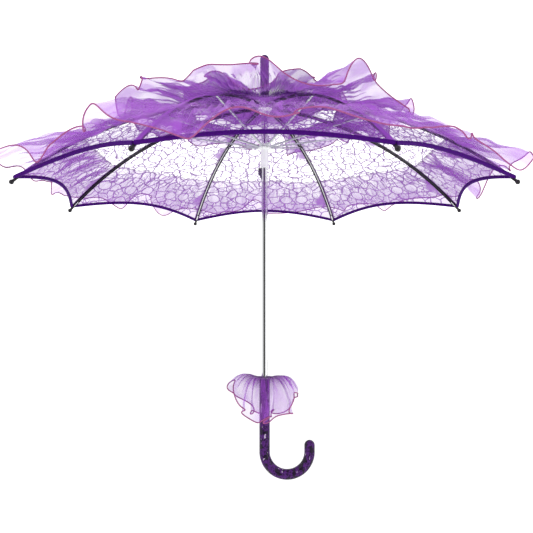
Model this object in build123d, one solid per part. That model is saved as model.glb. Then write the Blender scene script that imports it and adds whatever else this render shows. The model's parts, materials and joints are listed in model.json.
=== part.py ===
"""Lace parasol: an eight-rib stick frame, lace gores, organza ruffles and a crook handle.

+Z runs up the shaft and the origin is on its axis, at the middle of the handle's grip.
The crook opens towards +X. The ribs stand midway between the axes, so a gore faces each axis.
Every piece is modelled where it is when the parasol is open.
"""

from build123d import *

import os
from math import asin, atan2, cos, degrees, hypot, radians, sin, sqrt, tan

# ---- Driving dimensions, in millimetres ----
RIBS = 8
CANOPY_RADIUS = 400.0  # shaft axis to the ball on a rib's end
CANOPY_RISE = 153.0  # rib ends up to the rib hinges
CROWN_Z = 520.0  # the rib hinges
HINGE_RADIUS = 10.0  # rib hinges from the shaft axis

SHAFT_RADIUS = 5.0
SHAFT_WALL = 1.0
SHAFT_LOW_Z, SHAFT_HIGH_Z = 10.0, 560.0

RUNNER_Z = 453.6  # the runner's pivot wire, with the parasol open
RUNNER_PIVOT_RADIUS = 9.0  # where a stretcher's line ends, from the shaft axis
RUNNER_SLEEVE = 35.6  # the runner's skirt below the pivots
RUNNER_RADIUS = 6.7
SLIDE_GAP = 0.1  # runner on shaft, all round

RIB_WIDTH = 5.4
RIB_TOP, RIB_UNDER = 1.5, -1.8  # the channel's faces, from the rib's line
RIB_WALL = 0.5
TAB_WIDTH = 2.2
RIVET_SPAN = 182.0  # shaft axis to the rivet that joins rib and stretcher
RIVET_DROP = 0.6  # the rivet, under the rib's line
PIN_RADIUS = 0.6  # rivets and pivot wires
PIN_GAP = 0.05

STRETCHER_WIDTH = 3.0
STRETCHER_DEPTH = 2.4
OPEN_PIVOT_GAP = 2.6  # a stretcher stops this far short of the runner's pivot

TIP_BALL, TIP_SLEEVE, TIP_LENGTH = 3.75, 2.3, 12.0

GORE_LIFT, GORE_THICKNESS = 2.8, 0.8  # above the ribs' line
GORE_INNER, GORE_OUTER = 16.0, 392.0
HEM_DIP = 0.945  # the hem's middle, as a share of the radius at the ribs
SEAM_GAP = 0.3  # each gore stands back this far from the plane of its seam

TAPE_LIFT, TAPE_THICKNESS = 4.0, 0.6  # the organza layer that the frills stand on
FRILL_RADII = (112.0, 236.0, 366.0)
FRILL_REACH, FRILL_LEAN, FRILL_THICKNESS = 42.0, 34.0, 0.8

GRIP_RADIUS = 8.6
LACE_SLEEVE = 1.0
GRIP_TOP_Z = 66.0
BEND_RADIUS = 37.0
BEND_Z = -53.0
CROOK_END_Z = -34.0
SKIRT_RADIUS, SKIRT_LOW_Z, SKIRT_HIGH_Z = 60.0, -8.0, 74.0
SKIRT_THICKNESS = 1.5
SKIRT_GAP = 0.3  # between the sections of the bell

FERRULE_RADIUS = 7.5
FERRULE_LOW_Z, FERRULE_HIGH_Z = 529.0, 612.0

# ---- Worked out ----
STEP_ANGLE = 360.0 / RIBS
HALF_STEP = STEP_ANGLE / 2
DOME_RADIUS = (CANOPY_RADIUS**2 + CANOPY_RISE**2) / (2 * CANOPY_RISE)
DOME_Z = CROWN_Z - DOME_RADIUS
GORE_NARROWING = cos(radians(HALF_STEP))  # a gore's middle is this much nearer the shaft


def rib_angle(number):
    """Direction of rib 1 to 8, in degrees from +X."""
    return HALF_STEP + (number - 1) * STEP_ANGLE


def gore_angle(number):
    """Direction of the middle of the gore that follows rib 1 to 8."""
    return number * STEP_ANGLE


def line_z(radius):
    """Height of a rib's line at this distance from the shaft axis."""
    return DOME_Z + sqrt(DOME_RADIUS**2 - radius**2)


def slope(radius):
    """How steeply a rib's line falls there, in degrees."""
    return degrees(asin(radius / DOME_RADIUS))


def arc_strip(low, high, inner, outer, narrowing=1.0):
    """Upright face between two arcs over the ribs' line, from one radius to another."""
    start, size = 90 - slope(outer), slope(outer) - slope(inner)
    arcs = []
    for lift in (low, high):
        rise = DOME_RADIUS + lift
        arcs.append(
            EllipticalCenterArc((0, DOME_Z), rise * narrowing, rise, start, arc_size=size)
        )
    sides = [Line(arcs[0] @ t, arcs[1] @ t) for t in (0, 1)]
    return Plane.XZ * make_face(arcs + sides)


def plate(face, width):
    """The face made into a plate, half of its width each side of it."""
    return extrude(face, amount=width / 2, both=True)


def cross_pin(radius, height, pin_radius, length):
    """A cylinder across a rib's plane."""
    return Pos(radius, 0, height) * Rot(X=90) * Cylinder(pin_radius, length)


def shaft():
    """Chromed tube with a slot for each catch spring."""
    length = SHAFT_HIGH_Z - SHAFT_LOW_Z
    tube = Cylinder(SHAFT_RADIUS, length) - Cylinder(SHAFT_RADIUS - SHAFT_WALL, length)
    tube = Pos(0, 0, (SHAFT_LOW_Z + SHAFT_HIGH_Z) / 2) * tube
    return tube - spring_slot(TOP_SPRING) - spring_slot(BOTTOM_SPRING)


# Each catch spring: height of its flat face, way it points, length that stands out, turn about Z.
TOP_SPRING = {"face_z": RUNNER_Z - RUNNER_SLEEVE - 0.4, "up": 1, "length": 23.0, "turn": 180}
BOTTOM_SPRING = {"face_z": 147.0, "up": -1, "length": 17.0, "turn": 90}
SPRING_OUT = 10.6  # the nose, from the shaft axis
SPRING_IN = 2.4  # the back of the leg inside the shaft
SPRING_LEG = 1.2
SPRING_WIDTH = 1.6
SLOT_WIDTH = 2.4


def place_spring(shape, spring):
    """Turn a spring made with its flat face at z 0 and its nose along +X to its place."""
    if spring["up"] < 0:
        shape = mirror(shape, about=Plane.XY)
    return Pos(0, 0, spring["face_z"]) * Rot(Z=spring["turn"]) * shape


def catch_spring(spring):
    """Catch plate: flat face on top, ramp below, and a leg inside the shaft."""
    ramp_end, leg_end = -spring["length"], -spring["length"] - 9.0
    outline = Polyline(
        (SPRING_IN, 0),
        (SPRING_OUT, 0),
        (SPRING_OUT, ramp_end * 0.4),
        (SPRING_IN + SPRING_LEG, ramp_end),
        (SPRING_IN + SPRING_LEG, leg_end),
        (SPRING_IN, leg_end),
        close=True,
    )
    return place_spring(plate(Plane.XZ * make_face(outline), SPRING_WIDTH), spring)


def spring_slot(spring):
    """Cutter for the window in the shaft that a spring comes out of."""
    height = spring["length"] + 3.0
    window = Pos(SHAFT_RADIUS, 0, 0.3 - height / 2) * Box(SHAFT_RADIUS, SLOT_WIDTH, height)
    return place_spring(window, spring)


def pivot_wire(radius, height):
    """Ring of wire with a straight run through each hinge."""
    side = 2 * radius * tan(radians(HALF_STEP))
    bars = [Pos(radius, 0, height) * Rot(X=90) * Cylinder(PIN_RADIUS, side)]
    bars.append(Pos(radius, side / 2, height) * Sphere(PIN_RADIUS))
    ring = [Rot(Z=rib_angle(n)) * bar for n in range(1, RIBS + 1) for bar in bars]
    return ring[0] + ring[1:]


def hinge_collar(height, collar_radius, wire_radius, slot_radius, slot_width, below, above, hub):
    """Collar with a slot for each hinge and a groove for the pivot wire, on a hub."""
    collar = Pos(0, 0, height) * Cylinder(collar_radius, 6.0)
    sleeve = Pos(0, 0, height + (above - below) / 2) * Cylinder(hub, above + below)
    body = collar + sleeve
    slot = Pos(slot_radius + 10, 0, height) * Box(20, slot_width, 7.0)
    body -= [Rot(Z=rib_angle(n)) * slot for n in range(1, RIBS + 1)]
    inside = RegularPolygon(wire_radius - PIN_RADIUS - PIN_GAP, RIBS, major_radius=False)
    groove = extrude(Circle(collar_radius + 2) - inside, PIN_RADIUS + PIN_GAP, both=True)
    return body - Pos(0, 0, height) * groove


def top_notch():
    """Collar fixed at the top of the shaft, that the ribs hinge in."""
    height = line_z(HINGE_RADIUS)
    collar = hinge_collar(height, 12.5, HINGE_RADIUS, 8.0, 2.8, 10.0, 8.5, 7.5)
    return collar - Pos(0, 0, height) * Cylinder(SHAFT_RADIUS, 40)


def runner():
    """Sliding collar on a sleeve, with a window that the bottom spring catches in."""
    body = hinge_collar(RUNNER_Z, 11.0, 8.6, 7.7, 4.0, RUNNER_SLEEVE, 5.0, RUNNER_RADIUS)
    low = RUNNER_Z - RUNNER_SLEEVE
    body += Pos(0, 0, low + 1.0) * Cylinder(RUNNER_RADIUS + 0.7, 2.0)
    body += Pos(0, 0, RUNNER_Z + 4.0) * Cylinder(RUNNER_RADIUS + 0.7, 2.0)
    body -= Pos(0, 0, RUNNER_Z) * Cylinder(SHAFT_RADIUS + SLIDE_GAP, 3 * RUNNER_SLEEVE)
    window = Pos(0, RUNNER_RADIUS, low + 14.0) * Box(3.0, 6.0, 20.0)
    return body - window


def rib():
    """Steel channel open underneath, with an eye at its hinge and a round end for the tip."""
    start, end = 14.6, CANOPY_RADIUS - TIP_LENGTH * 0.85
    channel = plate(arc_strip(RIB_UNDER, RIB_TOP, start, end), RIB_WIDTH)
    hollow = arc_strip(RIB_UNDER - 1, RIB_TOP - RIB_WALL, start - 1, end + 1)
    channel -= plate(hollow, RIB_WIDTH - 2 * RIB_WALL)
    channel -= cross_pin(RIVET_SPAN, rivet_z(), PIN_RADIUS, 10)
    tab = plate(arc_strip(-0.9, 0.9, HINGE_RADIUS, start + 8), TAB_WIDTH)
    bridge = plate(arc_strip(-0.9, RIB_TOP - 0.1, start, start + 8), RIB_WIDTH - 0.2)
    eye = cross_pin(HINGE_RADIUS, line_z(HINGE_RADIUS), 1.7, TAB_WIDTH)
    hole = cross_pin(HINGE_RADIUS, line_z(HINGE_RADIUS), PIN_RADIUS + PIN_GAP, 10)
    body = channel + bridge + tab + eye - hole
    plug = plate(arc_strip(-0.9, RIB_TOP - 0.1, end - 8, end), RIB_WIDTH - 0.2)
    spike = along_end(Pos(0, 0, -TIP_LENGTH * 0.6 - 2.0) * Cylinder(1.2, TIP_LENGTH + 4.0))
    return body + plug + spike


def rivet_z():
    """Height of the rivet between rib and stretcher."""
    return line_z(RIVET_SPAN) - RIVET_DROP


def along_end(shape):
    """Place a shape made along Z so that it points out along the end of a rib."""
    turned = Rot(Y=90 + slope(CANOPY_RADIUS)) * shape
    return Pos(CANOPY_RADIUS, 0, line_z(CANOPY_RADIUS)) * turned


def tip():
    """Ball tip on a socket that is pushed onto the rib's round end."""
    socket = Pos(0, 0, -TIP_LENGTH / 2) * Cylinder(TIP_SLEEVE, TIP_LENGTH)
    bore = Pos(0, 0, -TIP_LENGTH * 0.6) * Cylinder(1.2 + PIN_GAP, TIP_LENGTH + 0.2)
    return along_end(Sphere(TIP_BALL) + socket - bore)


def rivet():
    """Rivet through the rib's flanges, with a head at each side."""
    body = cross_pin(RIVET_SPAN, rivet_z(), PIN_RADIUS, RIB_WIDTH)
    for side in (-1, 1):
        head = cross_pin(RIVET_SPAN, rivet_z(), 1.4, 0.6)
        body += Pos(0, side * (RIB_WIDTH / 2 + 0.3), 0) * head
    return body


def stretcher():
    """Bar from the rivet to just short of the runner's wire."""
    run = RIVET_SPAN - RUNNER_PIVOT_RADIUS
    rise = rivet_z() - RUNNER_Z
    length = hypot(run, rise)
    bar = Pos((OPEN_PIVOT_GAP - length) / 2, 0) * SlotCenterToCenter(
        length - OPEN_PIVOT_GAP, STRETCHER_DEPTH
    )
    bar -= Circle(PIN_RADIUS + PIN_GAP)
    bar = Pos(RIVET_SPAN, rivet_z()) * Rot(Z=degrees(atan2(rise, run))) * bar
    return plate(Plane.XZ * bar, STRETCHER_WIDTH)


def sector(inner, outer, dip):
    """Tall block between two seams, with its outer side curved in by dip at the middle."""
    corners = []
    for radius in (inner, outer):
        x = radius * GORE_NARROWING
        corners.append((x, x * tan(radians(HALF_STEP)) - SEAM_GAP / GORE_NARROWING))
    (x_in, y_in), (x_out, y_out) = corners
    outline = [
        Polyline((x_out, -y_out), (x_in, -y_in), (x_in, y_in), (x_out, y_out)),
        ThreePointArc((x_out, -y_out), (x_out * dip, 0), (x_out, y_out)),
    ]
    return Pos(0, 0, 300) * extrude(make_face(outline), 300)


def gore():
    """One lace panel, bent only along the ribs, so it is flat from seam to seam."""
    high = GORE_LIFT + GORE_THICKNESS
    sheet = arc_strip(GORE_LIFT, high, GORE_INNER - 4, GORE_OUTER + 4, GORE_NARROWING)
    return plate(sheet, CANOPY_RADIUS) & sector(GORE_INNER, GORE_OUTER, HEM_DIP)


def frill(radius):
    """Section of a frill that leans out from the canopy at this radius."""
    fall = radians(slope(radius))
    lift = TAPE_LIFT + (TAPE_THICKNESS + FRILL_THICKNESS) / 2
    foot_x = (radius + lift * sin(fall)) * GORE_NARROWING
    foot_z = line_z(radius) + lift * cos(fall)
    lean = FRILL_LEAN - slope(radius)
    strip = Pos(FRILL_REACH / 2, 0) * Rectangle(FRILL_REACH, FRILL_THICKNESS)
    return Plane.XZ * (Pos(foot_x, foot_z) * Rot(Z=lean) * strip)


def ruffle():
    """Organza of one gore: a thin layer over the lace with frills standing on it."""
    high = TAPE_LIFT + TAPE_THICKNESS
    inner, outer = FRILL_RADII[0] - 40, FRILL_RADII[-1] + 8
    section = arc_strip(TAPE_LIFT, high, inner, outer, GORE_NARROWING)
    body = plate(section, CANOPY_RADIUS)
    for radius in FRILL_RADII:
        body += plate(frill(radius), CANOPY_RADIUS)
    return body & sector(inner + 1, CANOPY_RADIUS + 32, 0.96)


def crook(radius):
    """Round rod along the handle, with a ball at its free end."""
    straight = Line((0, 0, GRIP_TOP_Z), (0, 0, BEND_Z))
    far = 2 * BEND_RADIUS
    bend = ThreePointArc((0, 0, BEND_Z), (BEND_RADIUS, 0, BEND_Z - BEND_RADIUS), (far, 0, BEND_Z))
    rise = Line((far, 0, BEND_Z), (far, 0, CROOK_END_Z - GRIP_RADIUS))
    section = Plane((0, 0, GRIP_TOP_Z), z_dir=(0, 0, -1)) * Circle(radius)
    rod = sweep(section, path=Wire([straight, bend, rise]))
    return rod + Pos(far, 0, CROOK_END_Z - GRIP_RADIUS) * Sphere(radius)


def handle_core():
    """Crook with a socket for the shaft."""
    socket = Pos(0, 0, (SHAFT_LOW_Z + GRIP_TOP_Z) / 2)
    return crook(GRIP_RADIUS - LACE_SLEEVE - 0.05) - socket * Cylinder(
        SHAFT_RADIUS, GRIP_TOP_Z - SHAFT_LOW_Z
    )


def handle_sleeve():
    """Lace tube drawn over the crook, closed at its free end."""
    return crook(GRIP_RADIUS) - crook(GRIP_RADIUS - LACE_SLEEVE)


def handle_ruffle():
    """Bell of gathered organza round the top of the handle, in eight like sections."""
    inner = GRIP_RADIUS + 0.3
    wide = SKIRT_RADIUS - SKIRT_THICKNESS
    top = ThreePointArc((inner, SKIRT_HIGH_Z), (44, 48), (SKIRT_RADIUS, SKIRT_LOW_Z))
    under = ThreePointArc(
        (inner, SKIRT_HIGH_Z - SKIRT_THICKNESS * 1.5),
        (44 - SKIRT_THICKNESS, 48 - SKIRT_THICKNESS),
        (wide, SKIRT_LOW_Z),
    )
    ends = [Line(top @ t, under @ t) for t in (0, 1)]
    bell = revolve(Plane.XZ * make_face([top, under] + ends), Axis.Z)
    for number in range(RIBS // 2):
        bell -= Rot(Z=rib_angle(number + 1)) * Box(3 * SKIRT_RADIUS, SKIRT_GAP, 4 * SKIRT_HIGH_Z)
    return bell


def ferrule(radius, low):
    """Round-ended rod above the crown."""
    straight = FERRULE_HIGH_Z - FERRULE_RADIUS - low
    rod = Pos(0, 0, low + straight / 2) * Cylinder(radius, straight)
    return rod + Pos(0, 0, low + straight) * Sphere(radius)


def ferrule_core():
    """Plug on the top of the shaft."""
    socket = Pos(0, 0, (FERRULE_LOW_Z + SHAFT_HIGH_Z) / 2)
    rod = ferrule(FERRULE_RADIUS - LACE_SLEEVE - 0.05, FERRULE_LOW_Z)
    return rod - socket * Cylinder(SHAFT_RADIUS, SHAFT_HIGH_Z - FERRULE_LOW_Z)


def ferrule_sleeve():
    """Lace tube over the ferrule, closed at its top."""
    inside = ferrule(FERRULE_RADIUS - LACE_SLEEVE, FERRULE_LOW_Z)
    return ferrule(FERRULE_RADIUS, FERRULE_LOW_Z) - inside


def main():
    nodes = {
        "shaft": shaft(),
        "top_notch": top_notch(),
        "notch_wire": pivot_wire(HINGE_RADIUS, line_z(HINGE_RADIUS)),
        "runner": runner(),
        "runner_wire": pivot_wire(8.6, RUNNER_Z),
        "top_spring": catch_spring(TOP_SPRING),
        "bottom_spring": catch_spring(BOTTOM_SPRING),
        "ferrule_core": ferrule_core(),
        "ferrule_sleeve": ferrule_sleeve(),
        "handle_core": handle_core(),
        "handle_sleeve": handle_sleeve(),
        "handle_ruffle": handle_ruffle(),
    }
    at_rib = {"rib": rib(), "rivet": rivet(), "tip": tip(), "stretcher": stretcher()}
    at_gore = {"gore": gore(), "ruffle": ruffle()}
    for number in range(1, RIBS + 1):
        for name, shape in at_rib.items():
            nodes[f"{name}_{number}"] = Rot(Z=rib_angle(number)) * shape
        for name, shape in at_gore.items():
            nodes[f"{name}_{number}"] = Rot(Z=gore_angle(number)) * shape
    os.makedirs("parts", exist_ok=True)
    for name, shape in nodes.items():
        export_step(shape, f"parts/{name}.step")


main()
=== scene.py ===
"""Lace parasol: cloth, trim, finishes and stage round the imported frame."""

import json
from math import asin, cos, hypot, pi, radians, sin

import bmesh
import bpy
from bpy.props import FloatProperty, FloatVectorProperty, IntProperty, PointerProperty
from mathutils import Matrix, Vector, noise


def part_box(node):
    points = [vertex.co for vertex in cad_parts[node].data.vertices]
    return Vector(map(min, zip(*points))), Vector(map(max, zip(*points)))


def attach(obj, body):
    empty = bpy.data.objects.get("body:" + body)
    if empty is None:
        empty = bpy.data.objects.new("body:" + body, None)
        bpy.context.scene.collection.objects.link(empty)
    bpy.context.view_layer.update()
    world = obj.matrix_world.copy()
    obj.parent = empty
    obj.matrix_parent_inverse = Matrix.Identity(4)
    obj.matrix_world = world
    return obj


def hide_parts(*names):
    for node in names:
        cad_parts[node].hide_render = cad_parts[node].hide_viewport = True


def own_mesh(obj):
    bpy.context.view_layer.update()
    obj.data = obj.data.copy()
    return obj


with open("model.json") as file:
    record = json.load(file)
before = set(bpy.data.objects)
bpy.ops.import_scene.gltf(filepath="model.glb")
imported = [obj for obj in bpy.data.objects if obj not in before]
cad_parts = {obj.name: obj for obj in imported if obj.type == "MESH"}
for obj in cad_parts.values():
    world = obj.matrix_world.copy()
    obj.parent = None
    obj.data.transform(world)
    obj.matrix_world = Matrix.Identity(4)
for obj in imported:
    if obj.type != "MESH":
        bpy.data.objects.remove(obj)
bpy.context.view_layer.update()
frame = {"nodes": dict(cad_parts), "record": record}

bl_info = {
    "name": "Lace Parasol",
    "version": (1, 0, 0),
    "blender": (4, 5, 0),
    "location": "3D View > Sidebar > Parasol",
    "description": "Builds the lace, organza and finishes of a stick parasol",
    "category": "Object",
}

JOINTS = {joint["name"]: joint for joint in frame["record"]["behaviour"]["joints"]}
GORES = 8
HALF = pi / GORES
BALL_RADIUS = 0.00375
CROWN_HOLE = 0.013


# ---- The canopy's shape, worked out from the frame ----
def rib_line():
    """Radius and centre height of the arc that the ribs follow, from a hinge and a ball tip."""
    x, y, hinge_z = JOINTS["rib_1_hinge"]["pos_m"]
    hinge_r = hypot(x, y)
    low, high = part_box("tip_1")
    tip_z = low[2] + BALL_RADIUS
    tip_r = hypot(high[0] - BALL_RADIUS, high[1] - BALL_RADIUS)
    # The centre is on the axis, as far from the hinge as from the tip.
    centre = (tip_r**2 - hinge_r**2 + tip_z**2 - hinge_z**2) / (2 * (tip_z - hinge_z))
    return hypot(tip_r, tip_z - centre), centre


DOME_RADIUS, DOME_Z = rib_line()
GRIP_LOW, GRIP_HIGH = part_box("handle_ruffle")


def gore_angle(number):
    """Direction of the middle of a gore."""
    return 2 * HALF * number


def on_canopy(angle, rib_radius, lift):
    """A point of the cloth, at this direction and as far down as this radius on a rib."""
    number = round(angle / (2 * HALF))
    local = angle - gore_angle(number)
    fall = asin(min(rib_radius / DOME_RADIUS, 0.999))
    chord = (DOME_RADIUS + lift) * sin(fall) * cos(HALF)
    reach = chord / cos(local)
    height = DOME_Z + (DOME_RADIUS + lift) * cos(fall)
    return Vector((reach * cos(angle), reach * sin(angle), height))


# ---- User sizes and colours ----
class ParasolSizes(bpy.types.PropertyGroup):
    sheet_lift: FloatProperty(
        name="Sheet lift", description="Lace above the ribs' line", default=0.0030, unit="LENGTH"
    )
    hem_radius: FloatProperty(
        name="Hem radius", description="Hem at the ribs", default=0.394, unit="LENGTH"
    )
    hem_dip: FloatProperty(
        name="Hem dip", description="Hem radius at a gore's middle, as a share", default=0.945
    )
    hem_tape: FloatProperty(
        name="Hem tape", description="Half the thickness of the binding", default=0.0030, unit="LENGTH"
    )
    rolled_edge: FloatProperty(
        name="Rolled edge", description="Radius of an organza edge", default=0.0010, unit="LENGTH"
    )
    pleats: IntProperty(name="Pleats", description="Small pleats round a row", default=150)


class ParasolColours(bpy.types.PropertyGroup):
    lace: FloatVectorProperty(
        name="Lace", description="Threads of the lace", subtype="COLOR", default=(0.17, 0.04, 0.30)
    )
    hem: FloatVectorProperty(
        name="Hem", description="Binding along the hem", subtype="COLOR", default=(0.055, 0.002, 0.16)
    )
    organza: FloatVectorProperty(
        name="Organza", description="Sheer ruffles", subtype="COLOR", default=(0.36, 0.08, 0.58)
    )
    edge: FloatVectorProperty(
        name="Edge", description="Rolled edges", subtype="COLOR", default=(0.38, 0.10, 0.27)
    )
    sleeve: FloatVectorProperty(
        name="Sleeve", description="Lace on the handle", subtype="COLOR", default=(0.062, 0.012, 0.120)
    )


# ---- Shader maths ----
class Value:
    """A socket that Python's arithmetic works on."""

    def __init__(self, finish, socket):
        self.finish, self.socket = finish, socket

    def maths(self, operation, first, second=0.0):
        return self.finish.value("ShaderNodeMath", {"operation": operation}, {0: first, 1: second})

    def __add__(self, other):
        return self.maths("ADD", self, other)

    def __mul__(self, other):
        return self.maths("MULTIPLY", self, other)

    def __sub__(self, other):
        return self.maths("SUBTRACT", self, other)

    def __rsub__(self, other):
        return self.maths("SUBTRACT", other, self)

    def __lt__(self, other):
        return self.maths("LESS_THAN", self, other)

    def __gt__(self, other):
        return self.maths("GREATER_THAN", self, other)

    def __abs__(self):
        return self.maths("ABSOLUTE", self)

    def either(self, other):
        return self.maths("MAXIMUM", self, other)

    def both(self, other):
        return self.maths("MINIMUM", self, other)

    def ramp(self, low, high):
        """0 below low, 1 above high, smooth between; falls where high is under low."""
        return self.finish.value(
            "ShaderNodeMapRange",
            {"interpolation_type": "SMOOTHSTEP", "clamp": True},
            {"Value": self, "From Min": low, "From Max": high},
        )


class Finish:
    """A material on a Principled shader, with one method for every other node."""

    def __init__(self, name, **constants):
        self.material = bpy.data.materials.new(name)
        self.material.use_nodes = True
        self.tree = self.material.node_tree
        self.shader = self.tree.nodes["Principled BSDF"]
        for socket, constant in constants.items():
            self.shader.inputs[socket.replace("_", " ")].default_value = constant

    def node(self, kind, settings=None, inputs=None):
        node = self.tree.nodes.new(kind)
        for name, setting in (settings or {}).items():
            setattr(node, name, setting)
        for name, content in (inputs or {}).items():
            self.feed(node.inputs[name], content)
        return node

    def feed(self, socket, content):
        if isinstance(content, Value):
            content = content.socket
        if isinstance(content, bpy.types.NodeSocket):
            self.tree.links.new(content, socket)
        else:
            socket.default_value = content

    def value(self, kind, settings, inputs, output=0):
        return Value(self, self.node(kind, settings, inputs).outputs[output])

    def place(self, layer=None):
        if layer:
            return self.node("ShaderNodeUVMap", {"uv_map": layer}).outputs["UV"]
        return self.node("ShaderNodeTexCoord").outputs["Object"]

    def split(self, vector):
        parts = self.node("ShaderNodeSeparateXYZ", {}, {0: vector})
        return [Value(self, socket) for socket in parts.outputs]

    def noise(self, vector, scale, detail=2.0):
        inputs = {"Vector": vector, "Scale": scale, "Detail": detail}
        return self.value("ShaderNodeTexNoise", {}, inputs, "Fac")

    def cells(self, vector, scale, feature="F1", flat=True, randomness=1.0):
        settings = {"feature": feature, "voronoi_dimensions": "2D" if flat else "3D"}
        inputs = {"Vector": vector, "Scale": scale, "Randomness": randomness}
        return self.value("ShaderNodeTexVoronoi", settings, inputs, "Distance")

    def stretched(self, vector, shares):
        """The coordinates scaled along each axis, so that a pattern runs in streaks."""
        settings = {"operation": "MULTIPLY"}
        return self.node("ShaderNodeVectorMath", settings, {0: vector, 1: shares}).outputs[0]

    def wander(self, vector, scale, amount):
        """The coordinates pushed about by a noise, so that a pattern's lines meander."""
        cloud = self.node("ShaderNodeTexNoise", {}, {"Vector": vector, "Scale": scale})
        centred = self.node(
            "ShaderNodeVectorMath", {"operation": "SUBTRACT"}, {0: cloud.outputs["Color"], 1: (0.5,) * 3}
        )
        pushed = self.node(
            "ShaderNodeVectorMath",
            {"operation": "MULTIPLY_ADD"},
            {0: centred.outputs[0], 1: (amount,) * 3, 2: vector},
        )
        return pushed.outputs[0]

    def blend(self, factor, first, second):
        node = self.node("ShaderNodeMix", {"data_type": "RGBA"}, {"Factor": factor})
        self.feed(node.inputs[6], (*first, 1.0) if isinstance(first, tuple) else first)
        self.feed(node.inputs[7], (*second, 1.0) if isinstance(second, tuple) else second)
        return node.outputs[2]

    def set(self, **sockets):
        for name, content in sockets.items():
            self.feed(self.shader.inputs[name.replace("_", " ")], content)

    def bump(self, height, strength, distance):
        inputs = {"Height": height, "Strength": strength, "Distance": distance}
        self.set(Normal=self.node("ShaderNodeBump", {}, inputs).outputs[0])


def shade(colour, share):
    return tuple(channel * share for channel in colour)


# The lace's drawing: how many rings, vines and twigs there are to a metre.
RINGS, VINES, TWIGS = 20.0, 58.0, 112.0


def lace_finish(colour):
    """Stretched lace: open rings joined by vines over a fine net, denser at seams and hem."""
    finish = Finish("canopy_lace", Roughness=0.62, Specular_IOR_Level=0.3)
    cloth = finish.place("cut")
    across, down, _ = finish.split(finish.place("share"))
    loose = finish.wander(cloth, 40.0, 0.0170)
    tight = finish.wander(cloth, 78.0, 0.0100)
    ring_distance = finish.cells(finish.wander(cloth, 55.0, 0.007), RINGS, randomness=0.45)
    hole = ring_distance.ramp(0.245, 0.225)
    outline = (ring_distance > 0.218).both(ring_distance < 0.262)
    vine = finish.cells(loose, VINES, "DISTANCE_TO_EDGE") < 0.062
    twig = finish.cells(tight, TWIGS, "DISTANCE_TO_EDGE") < 0.070
    bushy = finish.noise(cloth, 30.0).ramp(0.44, 0.60)
    seam = abs(across).ramp(0.950, 0.980)
    hem = down.ramp(0.72, 1.0)
    # A cap of doubled lace lies round the crown.
    cap = down.ramp(0.30, 0.16)
    # The seam's spare cloth lies on one side of each rib.
    spare = (across * -1.0).ramp(0.70, 0.88) * down.ramp(0.97, 0.90)
    patch = finish.noise(cloth, 17.0).ramp(0.46, 0.54) * spare
    dense = seam.either(hem * 0.50).either(patch * 0.82).either(cap * 0.92)
    net = (vine * 0.90).either(twig * (bushy * 0.45 + hem * 0.25 + 0.30))
    open_work = net.either(bushy * 0.10) * (1.0 - hole)
    cover = open_work.either(outline * 0.9).either(dense)
    tone_and_fold_shade = finish.noise(cloth, 300.0)
    thread = finish.blend(tone_and_fold_shade, shade(colour, 0.72), shade(colour, 1.35))
    finish.set(Base_Color=finish.blend(dense, thread, (0.30, 0.06, 0.50)), Alpha=cover)
    finish.bump(cover, 0.5, 0.0006)
    return finish.material


def organza_finish(name, colour, cover, gather_width, gather_cover):
    """Sheer crisp cloth with soft folds, their light and shade painted into its colour; denser, with
    painted shade, where it is gathered.
    """
    finish = Finish(name, Roughness=0.45, Sheen_Weight=0.15, Specular_IOR_Level=0.3)
    _, out, _ = finish.split(finish.place("share"))
    cloth = finish.place("cut")
    fold = finish.noise(finish.stretched(cloth, (1.0, 0.30, 1.0)), 60.0, 2.0)
    # Painted shade in the gathers: near the stitching the colour darkens to a third of its own as shade
    # among the crowded folds, and the cover rises for the denser cloth.
    gathered = out.ramp(gather_width, 0.0)
    weave = finish.cells(cloth, 1400.0) * 0.06
    # Painted light and shade: the fold noise lightens and darkens the organza's colour as if light fell
    # across its folds.
    tone_and_fold_shade = finish.blend(fold, shade(colour, 0.62), shade(colour, 1.42))
    finish.set(
        Base_Color=finish.blend(gathered, tone_and_fold_shade, shade(colour, 0.30)),
        Alpha=(fold.ramp(0.40, 0.66) * 0.22 + weave + cover + gathered * gather_cover).both(0.97),
    )
    finish.bump(fold, 0.35, 0.0015)
    return finish.material


def thread_finish(name, colour, scale):
    """Wound or overlocked thread, with fine ridges."""
    finish = Finish(name, Roughness=0.85, Specular_IOR_Level=0.1)
    ridge = finish.cells(finish.place(), scale, flat=False)
    finish.set(Base_Color=finish.blend(ridge, shade(colour, 1.25), shade(colour, 0.55)))
    finish.bump(ridge, 0.6, 0.0005)
    return finish.material


def sleeve_finish(colour):
    """Lace drawn tight on a dark core: near-black lozenges between threads, with painted highlights
    standing for the threads' gloss.
    """
    finish = Finish("sleeve_lace", Coat_Roughness=0.10, Specular_IOR_Level=0.15, Roughness=0.40)
    cloth = finish.wander(finish.place(), 160.0, 0.004)
    thread = finish.cells(cloth, 230.0, "DISTANCE_TO_EDGE", False).ramp(0.22, 0.04)
    lozenge = finish.noise(finish.stretched(cloth, (1.0, 1.0, 0.6)), 120.0).ramp(0.50, 0.56)
    # Painted highlight: thin streaks where a pale colour is mixed into the base colour, standing for
    # glints of light on the threads.
    painted_glint = finish.noise(finish.stretched(cloth, (1.0, 1.0, 0.22)), 260.0).ramp(0.66, 0.70)
    cover = (thread * 0.65 + 0.30) * (1.0 - lozenge * 0.92)
    covered = finish.blend(cover, shade(colour, 0.10), shade(colour, 1.3))
    finish.set(
        Base_Color=finish.blend(painted_glint * 0.7, covered, (0.62, 0.50, 0.68)),
        Coat_Weight=lozenge * 0.35,
    )
    finish.bump(thread, 0.6, 0.0006)
    return finish.material


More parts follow.
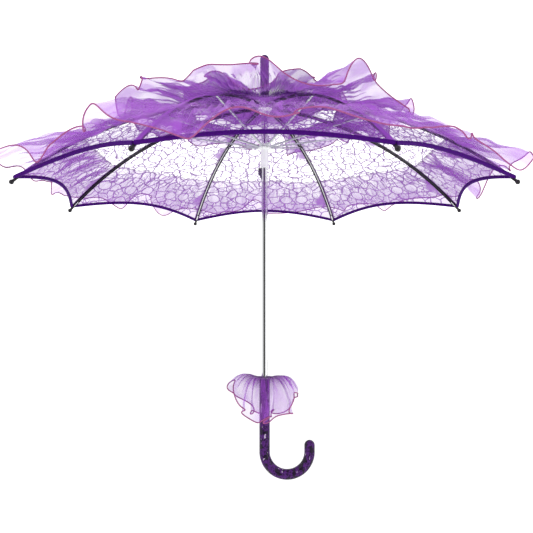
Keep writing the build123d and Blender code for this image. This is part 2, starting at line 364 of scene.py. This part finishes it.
def metal_finish(name, colour, roughness):
    """Bright metal with faint drawing marks along it."""
    finish = Finish(name, Metallic=1.0)
    mark = finish.noise(finish.stretched(finish.place(), (1.0, 1.0, 0.03)), 400.0, 3.0)
    finish.set(
        Base_Color=finish.blend(mark, shade(colour, 0.92), colour), Roughness=mark * 0.06 + roughness
    )
    return finish.material


def rib_finish():
    """Black enamel channel whose inner web is bare steel, painted near-white for its reflection of the
    bright surroundings.
    """
    finish = Finish("rib_steel")
    normal = finish.node("ShaderNodeTexCoord").outputs["Normal"]
    _, _, upward = finish.split(normal)
    x, y, _ = finish.split(finish.place())
    # Each plane through the shaft holds two ribs; a point is judged by the nearest plane.
    aside = None
    for number in range(GORES // 2):
        angle = (2 * number + 1) * HALF
        offset = abs(y * cos(angle) - x * sin(angle))
        aside = offset if aside is None else aside.both(offset)
    # Painted reflection: where the channel's web faces down near a rib's plane, its colour is
    # near-white, standing for bare steel reflecting the bright surroundings.
    web = upward.ramp(-0.45, -0.62) * aside.ramp(0.0013, 0.0010)
    wear = finish.noise(finish.place(), 240.0, 3.0)
    finish.set(
        Base_Color=finish.blend(web, (0.012, 0.006, 0.020), (0.95, 0.93, 0.98)),
        Metallic=web * 0.30,
        Roughness=wear * 0.2 + 0.24,
    )
    return finish.material


def plastic_finish(name, colour, roughness):
    """Moulded plastic with a faint cloudiness."""
    finish = Finish(name)
    cloud = finish.noise(finish.place(), 130.0, 3.0)
    finish.set(
        Base_Color=finish.blend(cloud, shade(colour, 0.90), colour), Roughness=cloud * 0.15 + roughness
    )
    finish.bump(cloud, 0.1, 0.0003)
    return finish.material


# ---- Pieces ----
def piece_from(bm, name, body, material):
    """A finished mesh object that rides on a body and takes its finish from a slot."""
    mesh = bpy.data.meshes.new(name)
    bm.to_mesh(mesh)
    bm.free()
    mesh.shade_smooth()
    mesh.materials.append(material)
    piece = bpy.data.objects.new(name, mesh)
    bpy.context.scene.collection.objects.link(piece)
    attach(piece, body)
    return piece


def cloth_grid(columns, rows, shape, cut):
    """A grid moved into shape(u, v), with the cloth's own measure and its share as UV maps."""
    bm = bmesh.new()
    bmesh.ops.create_grid(bm, x_segments=columns, y_segments=rows, size=1.0)
    places = {vert: (vert.co.x, (vert.co.y + 1) / 2) for vert in bm.verts}
    cut_layer = bm.loops.layers.uv.new("cut")
    share_layer = bm.loops.layers.uv.new("share")
    for face in bm.faces:
        for loop in face.loops:
            u, v = places[loop.vert]
            loop[cut_layer].uv = cut(u, v)
            loop[share_layer].uv = (u, v)
    for vert, (u, v) in places.items():
        vert.co = shape(u, v)
    return bm


def cord_round(name, points, radius, body, material, closed=False):
    """A thin round thread along the points, as a mesh."""
    curve = bpy.data.curves.new(name, "CURVE")
    curve.dimensions = "3D"
    curve.bevel_depth = radius
    curve.bevel_resolution = 1
    curve.use_fill_caps = not closed
    spline = curve.splines.new("POLY")
    spline.points.add(len(points) - 1)
    for target, point in zip(spline.points, points):
        target.co = (*point, 1.0)
    spline.use_cyclic_u = closed
    draft = bpy.data.objects.new(name + "_draft", curve)
    bm = bmesh.new()
    mesh = bpy.data.meshes.new_from_object(draft)
    bm.from_mesh(mesh)
    bpy.data.objects.remove(draft)
    bpy.data.meshes.remove(mesh)
    return piece_from(bm, name, body, material)


def fold_with(piece):
    """Gives the piece a mesh of its own."""
    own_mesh(piece)


class PARASOL_OT_gores(bpy.types.Operator):
    """Make the eight lace gores and their hem binding"""

    bl_idname = "parasol.gores"
    bl_label = "Lace gores"

    def execute(self, context):
        sizes, colours = context.scene.parasol_sizes, context.scene.parasol_colours
        lace = lace_finish(tuple(colours.lace))
        binding = thread_finish("hem_binding", tuple(colours.hem), 900.0)
        sag_depth = 0.0035
        # Each gore stops just short of its neighbour's, so that the two never share a face.
        width_share = 0.9995

        def hem_at(u):
            return sizes.hem_radius * (sizes.hem_dip + (1 - sizes.hem_dip) * u * u)

        for number in range(1, GORES + 1):
            middle = gore_angle(number)

            def shape(u, v):
                radius = CROWN_HOLE + (hem_at(u) - CROWN_HOLE) * v
                sag = sag_depth * (1 - u * u) * sin(pi * v)
                angle = middle + u * HALF * width_share
                return on_canopy(angle, radius, sizes.sheet_lift - sag)

            def cut(u, v):
                radius = CROWN_HOLE + (hem_at(u) - CROWN_HOLE) * v
                return (radius * sin(HALF) * u, DOME_RADIUS * asin(radius / DOME_RADIUS))

            bm = cloth_grid(28, 40, shape, cut)
            piece = piece_from(bm, f"lace_gore_{number}", f"gore_{number}", lace)
            points = [shape(step / 24 - 1, 1.0) for step in range(49)]
            name = f"hem_binding_{number}"
            body = f"gore_{number}"
            tape = cord_round(name, points, sizes.hem_tape, body, binding)
            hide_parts(f"gore_{number}")
            width = 2 * sizes.hem_radius * sin(HALF)
            length = DOME_RADIUS * asin(sizes.hem_radius / DOME_RADIUS)
            middle_length = cut(0, 1.0)[1]
            0.5 * width * middle_length
            fold_with(piece)
            fold_with(tape)
        return {"FINISHED"}


# How the organza of a ruffle moves: pleats, crumples and its edge's sideways slide, in metres.
PLEAT_DEPTH = 0.0036
CRUMPLE_DEPTH = 0.0130
CRUMPLES = 44.0
EDGE_SLIDE = 0.034
SEWN_LIFT = 0.0030
LEAST_LIFT = 0.0012

# Each row of organza: where it is sewn on, how far it reaches, how high its edge stands, its phase,
# its waves round the canopy, the strip each gore takes (width and length before gathering), and
# how much it hides: the further in it is sewn, the fuller its gathers are.
ROWS = {
    "crown": {
        "root": 0.026, "reach": 0.108, "stand": 0.025, "phase": 0.6,
        "lobes": (5, 9, 16), "strip": (0.115, 0.190), "cover": 0.64,
    },
    "middle": {
        "root": 0.128, "reach": 0.106, "stand": 0.036, "phase": 2.3,
        "lobes": (8, 15, 26), "strip": (0.115, 0.300), "cover": 0.50,
    },
    "hem": {
        "root": 0.300, "reach": 0.093, "stand": 0.030, "phase": 4.1,
        "lobes": (10, 19, 34), "strip": (0.105, 0.420), "cover": 0.31,
    },
}


def waves(angle, lobes, phase):
    """An uneven wave of about -1 to 1 that closes on itself round the canopy."""
    long, middling, short = lobes
    return (
        0.52 * sin(long * angle + phase)
        + 0.36 * sin(middling * angle + 2.1 * phase)
        + 0.12 * sin(short * angle + 3.7 * phase)
    )


def row_point(row, pleats, lift, angle, out):
    """A point of a ruffle: out runs from 0 at its stitching to 1 at its free edge."""
    lobes, phase = row["lobes"], row["phase"]
    surge = 0.80 + 0.40 * sin(3 * angle + 1.9 * phase)
    rise = waves(angle, lobes, phase) * surge
    slide = waves(angle, lobes, phase + 1.6)
    reach = row["reach"] * (1 + 0.11 * waves(angle, lobes, phase + 0.8) - 0.10 * rise)
    radius = row["root"] + reach * out
    stand = row["stand"] * (1.0 + 0.85 * rise) * out**1.15
    pleat = PLEAT_DEPTH * sin(pleats * angle) * sin(pi * min(out + 0.12, 1.0))
    # The crisp cloth is crumpled all over but its stiff rolled edge runs smoothly.
    spot = Vector((radius * cos(angle), radius * sin(angle), phase))
    crumple = CRUMPLE_DEPTH * noise.noise(spot * CRUMPLES)
    crumple *= (0.35 + 0.65 * out) * (1.0 - 0.85 * out**4)
    turn = angle + EDGE_SLIDE * slide * out**2 / max(radius, 0.07)
    height = SEWN_LIFT + max(stand, 0.001) + pleat + crumple
    return on_canopy(turn, radius, lift + max(height, LEAST_LIFT))


class PARASOL_OT_ruffles(bpy.types.Operator):
    """Make the three rows of organza ruffles on every gore, with their rolled edges"""

    bl_idname = "parasol.ruffles"
    bl_label = "Organza ruffles"

    def execute(self, context):
        sizes, colours = context.scene.parasol_sizes, context.scene.parasol_colours
        organza = {
            name: organza_finish(f"organza_{name}", tuple(colours.organza), row["cover"], 0.07, 0.25)
            for name, row in ROWS.items()
        }
        rolled = thread_finish("rolled_edge", tuple(colours.edge), 1100.0)
        for number in range(1, GORES + 1):
            middle = gore_angle(number)
            for row_name, row in ROWS.items():

                def shape(u, v):
                    angle = middle + u * HALF
                    return row_point(row, sizes.pleats, sizes.sheet_lift, angle, v)

                def cut(u, v):
                    return (u * HALF * (row["root"] + row["reach"]), row["reach"] * v)

                body = f"gore_{number}"
                name = f"ruffle_{row_name}_{number}"
                bm = cloth_grid(84, 34, shape, cut)
                piece = piece_from(bm, name, body, organza[row_name])
                points = [shape(step / 60 - 1, 1.0) for step in range(121)]
                thread = cord_round(
                    name + "_edge", points, sizes.rolled_edge, body, rolled
                )
                if row_name == "hem":
                    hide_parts(f"ruffle_{number}")
                fold_with(piece)
                fold_with(thread)
        return {"FINISHED"}


# The handle's organza: its radius at the gather, the height of its puff and the depth of its pleats; its
# ends are joined.
FRILL_GRIP = 0.0094
FRILL_PUFF = 0.009
FRILL_PLEAT = 0.0028


class PARASOL_OT_handle_frill(bpy.types.Operator):
    """Make the gathered organza round the top of the handle"""

    bl_idname = "parasol.handle_frill"
    bl_label = "Handle frill"

    def execute(self, context):
        sizes, colours = context.scene.parasol_sizes, context.scene.parasol_colours
        organza = organza_finish("handle_organza", tuple(colours.organza), 0.18, 0.62, 0.80)
        rolled = thread_finish("handle_edge", tuple(colours.edge), 1100.0)
        gather_z = GRIP_HIGH[2] - 0.008
        drop = gather_z - GRIP_LOW[2]
        widest = GRIP_HIGH[0]

        def shape(u, v):
            angle = pi * u
            # It stands out level with the gather on the left, hangs lower on the right, and hangs
            # longest in front and behind.
            side = abs(cos(angle)) ** 5
            fall = 0.84 - side * (0.74 if cos(angle) < 0 else 0.52) + 0.07 * sin(9 * angle + 0.4)
            wide = 0.56 + 0.38 * cos(angle) ** 2 + 0.06 * sin(7 * angle) + 0.05 * sin(13 * angle)
            swell = sin(min(v * 1.25, 1.0) * pi / 2)
            radius = FRILL_GRIP + (widest * wide - FRILL_GRIP) * swell * (0.82 + 0.18 * v)
            radius += FRILL_PLEAT * sin(34 * angle) * sin(pi * min(v + 0.1, 1.0))
            turn = angle + 0.27 * v**1.5 * sin(7 * angle + 0.9) + 0.08 * v * sin(15 * angle)
            puff = FRILL_PUFF * sin(pi * min(v * 1.6, 1.0))
            height = gather_z + puff - drop * min(max(fall, 0.04), 1.0) * v**1.5
            return Vector((radius * cos(turn), radius * sin(turn), max(height, GRIP_LOW[2])))

        def cut(u, v):
            return (pi * u * widest, v * drop)

        bm = cloth_grid(240, 20, shape, cut)
        bmesh.ops.remove_doubles(bm, verts=bm.verts, dist=1e-6)
        bmesh.ops.recalc_face_normals(bm, faces=bm.faces)
        piece = piece_from(bm, "handle_frill", "shaft", organza)
        points = [shape(step / 120 - 1, 1.0) for step in range(240)]
        thread = cord_round(
            "handle_frill_edge", points, sizes.rolled_edge, "shaft", rolled, True
        )
        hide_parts("handle_ruffle")
        return {"FINISHED"}


def dress(material, *stems):
    """Give a finish to every CAD node whose name starts with a stem."""
    for name, node in frame["nodes"].items():
        if name.rstrip("_12345678") in stems:
            for place in node.material_slots:
                place.material = material


class PARASOL_OT_finishes(bpy.types.Operator):
    """Give the frame, runner, springs, ferrule and handle their finishes"""

    bl_idname = "parasol.finishes"
    bl_label = "Frame finishes"

    def execute(self, context):
        colours = context.scene.parasol_colours
        sleeve = sleeve_finish(tuple(colours.sleeve))
        dress(sleeve, "handle_sleeve", "ferrule_sleeve")
        core = plastic_finish("crook_plastic", shade(tuple(colours.sleeve), 0.6), 0.35)
        dress(core, "handle_core", "ferrule_core")
        dress(metal_finish("chrome", (0.93, 0.94, 0.95), 0.0), "shaft")
        dress(metal_finish("spring_steel", (0.42, 0.43, 0.46), 0.30), "top_spring", "bottom_spring")
        dress(metal_finish("wire_steel", (0.62, 0.63, 0.65), 0.25), "notch_wire", "runner_wire")
        dress(metal_finish("stretcher_steel", (0.70, 0.74, 0.75), 0.30), "stretcher")
        dress(rib_finish(), "rib")
        dress(plastic_finish("tip_plastic", (0.012, 0.010, 0.014), 0.22), "tip", "rivet")
        pale = plastic_finish("runner_plastic", (0.96, 0.98, 0.97), 0.30)
        dress(pale, "runner", "top_notch")
        return {"FINISHED"}


# ---- Stage ----
BACKDROP_EXTRA, STUDIO_GLOW = 0.75, 0.90
FLOOR_HALF, FLOOR_Z, FLOOR_GREY = 9.0, -0.60, 0.97
CARD_REACH, CARD_HALF_HEIGHT, CARD_Z = 1.05, 0.8, 0.25
# Cards that only reflections show: bearing from the camera's side, half width, grey.
CARDS = ((-15, 0.62, 0.002), (38, 0.22, 0.30), (84, 0.12, 0.01))
CAMERA_PLACE = (0, -1.1613, 0.1868)
CAMERA_PITCH = 0.056


def softbox(name, place, target, size, power):
    light = bpy.data.lights.new(name, "AREA")
    light.shape, light.size, light.energy = "SQUARE", size, power
    lamp = bpy.data.objects.new(name, light)
    lamp.location = place
    lamp.rotation_euler = (Vector(target) - Vector(place)).to_track_quat("-Z", "Y").to_euler()
    bpy.context.scene.collection.objects.link(lamp)


def stage_plane(name, half, place, colour, tilt=None, glow=0.0):
    """A flat sheet of the stage, half as wide as it is long or wide."""
    bm = bmesh.new()
    bmesh.ops.create_grid(bm, x_segments=1, y_segments=1, size=1.0)
    bmesh.ops.scale(bm, vec=(*half, 1.0), verts=bm.verts)
    bmesh.ops.transform(bm, matrix=Matrix.Translation(place) @ (tilt or Matrix()), verts=bm.verts)
    mesh = bpy.data.meshes.new(name)
    bm.to_mesh(mesh)
    bm.free()
    finish = Finish(name, Base_Color=(*colour, 1.0), Roughness=0.9, Emission_Strength=glow)
    finish.set(Emission_Color=(1.0, 1.0, 1.0, 1.0))
    mesh.materials.append(finish.material)
    plane = bpy.data.objects.new(name, mesh)
    bpy.context.scene.collection.objects.link(plane)
    return plane


class PARASOL_OT_stage(bpy.types.Operator):
    """Set up the floor, the lights and the camera"""

    bl_idname = "parasol.stage"
    bl_label = "Stage"

    def execute(self, context):
        scene = context.scene
        world = bpy.data.worlds.new("studio")
        world.use_nodes = True
        tree = world.node_tree
        glow = tree.nodes["Background"]
        glow.inputs[0].default_value = (1.0, 1.0, 1.0, 1.0)
        # The backdrop is lit more strongly than the object, as a white studio wall is.
        seen = tree.nodes.new("ShaderNodeLightPath")
        strength = tree.nodes.new("ShaderNodeMath")
        strength.operation = "MULTIPLY_ADD"
        tree.links.new(seen.outputs["Is Camera Ray"], strength.inputs[0])
        strength.inputs[1].default_value = BACKDROP_EXTRA
        strength.inputs[2].default_value = STUDIO_GLOW
        tree.links.new(strength.outputs[0], glow.inputs[1])
        scene.world = world
        scene.view_settings.view_transform = "Standard"
        floor = stage_plane(
            "floor", (FLOOR_HALF,) * 2, (0, 0, FLOOR_Z), (FLOOR_GREY,) * 3, glow=0.22
        )
        floor.visible_glossy = False
        for number, (bearing, half_width, grey) in enumerate(CARDS, 1):
            turn = radians(bearing)
            place = (CARD_REACH * sin(turn), -CARD_REACH * cos(turn), CARD_Z)
            tilt = Matrix.Rotation(turn, 4, "Z") @ Matrix.Rotation(radians(90), 4, "X")
            half = (half_width, CARD_HALF_HEIGHT)
            card = stage_plane(f"card_{number}", half, place, (grey, grey, grey), tilt)
            card.visible_camera = False
            card.visible_shadow = False
            card.visible_diffuse = False
        softbox("key", (-1.1, -1.6, 1.5), (0, 0, 0.4), 1.2, 16.0)
        softbox("fill", (1.6, -1.0, 0.4), (0, 0, 0.3), 1.4, 9.0)
        lens = bpy.data.cameras.new("camera")
        lens.lens = 47.04
        lens.shift_x = 0.0036
        camera = bpy.data.objects.new("camera", lens)
        camera.location = CAMERA_PLACE
        camera.rotation_euler = (pi / 2 + CAMERA_PITCH, 0, 0)
        scene.collection.objects.link(camera)
        scene.camera = camera
        return {"FINISHED"}


class PARASOL_PT_panel(bpy.types.Panel):
    """Steps that build the parasol"""

    bl_label = "Lace Parasol"
    bl_idname = "PARASOL_PT_panel"
    bl_space_type = "VIEW_3D"
    bl_region_type = "UI"
    bl_category = "Parasol"

    def draw(self, context):
        for group in (context.scene.parasol_sizes, context.scene.parasol_colours):
            for name in type(group).__annotations__:
                self.layout.prop(group, name)
        for step in STEPS:
            self.layout.operator(step.bl_idname)


STEPS = (
    PARASOL_OT_gores,
    PARASOL_OT_ruffles,
    PARASOL_OT_handle_frill,
    PARASOL_OT_finishes,
    PARASOL_OT_stage,
)
CLASSES = (ParasolSizes, ParasolColours, *STEPS, PARASOL_PT_panel)


def register():
    for kind in CLASSES:
        bpy.utils.register_class(kind)
    bpy.types.Scene.parasol_sizes = PointerProperty(type=ParasolSizes)
    bpy.types.Scene.parasol_colours = PointerProperty(type=ParasolColours)


def unregister():
    del bpy.types.Scene.parasol_colours
    del bpy.types.Scene.parasol_sizes
    for kind in reversed(CLASSES):
        bpy.utils.unregister_class(kind)


def main():
    register()
    bpy.ops.parasol.gores()
    bpy.ops.parasol.ruffles()
    bpy.ops.parasol.handle_frill()
    bpy.ops.parasol.finishes()
    bpy.ops.parasol.stage()


if __name__ == "__main__":
    main()
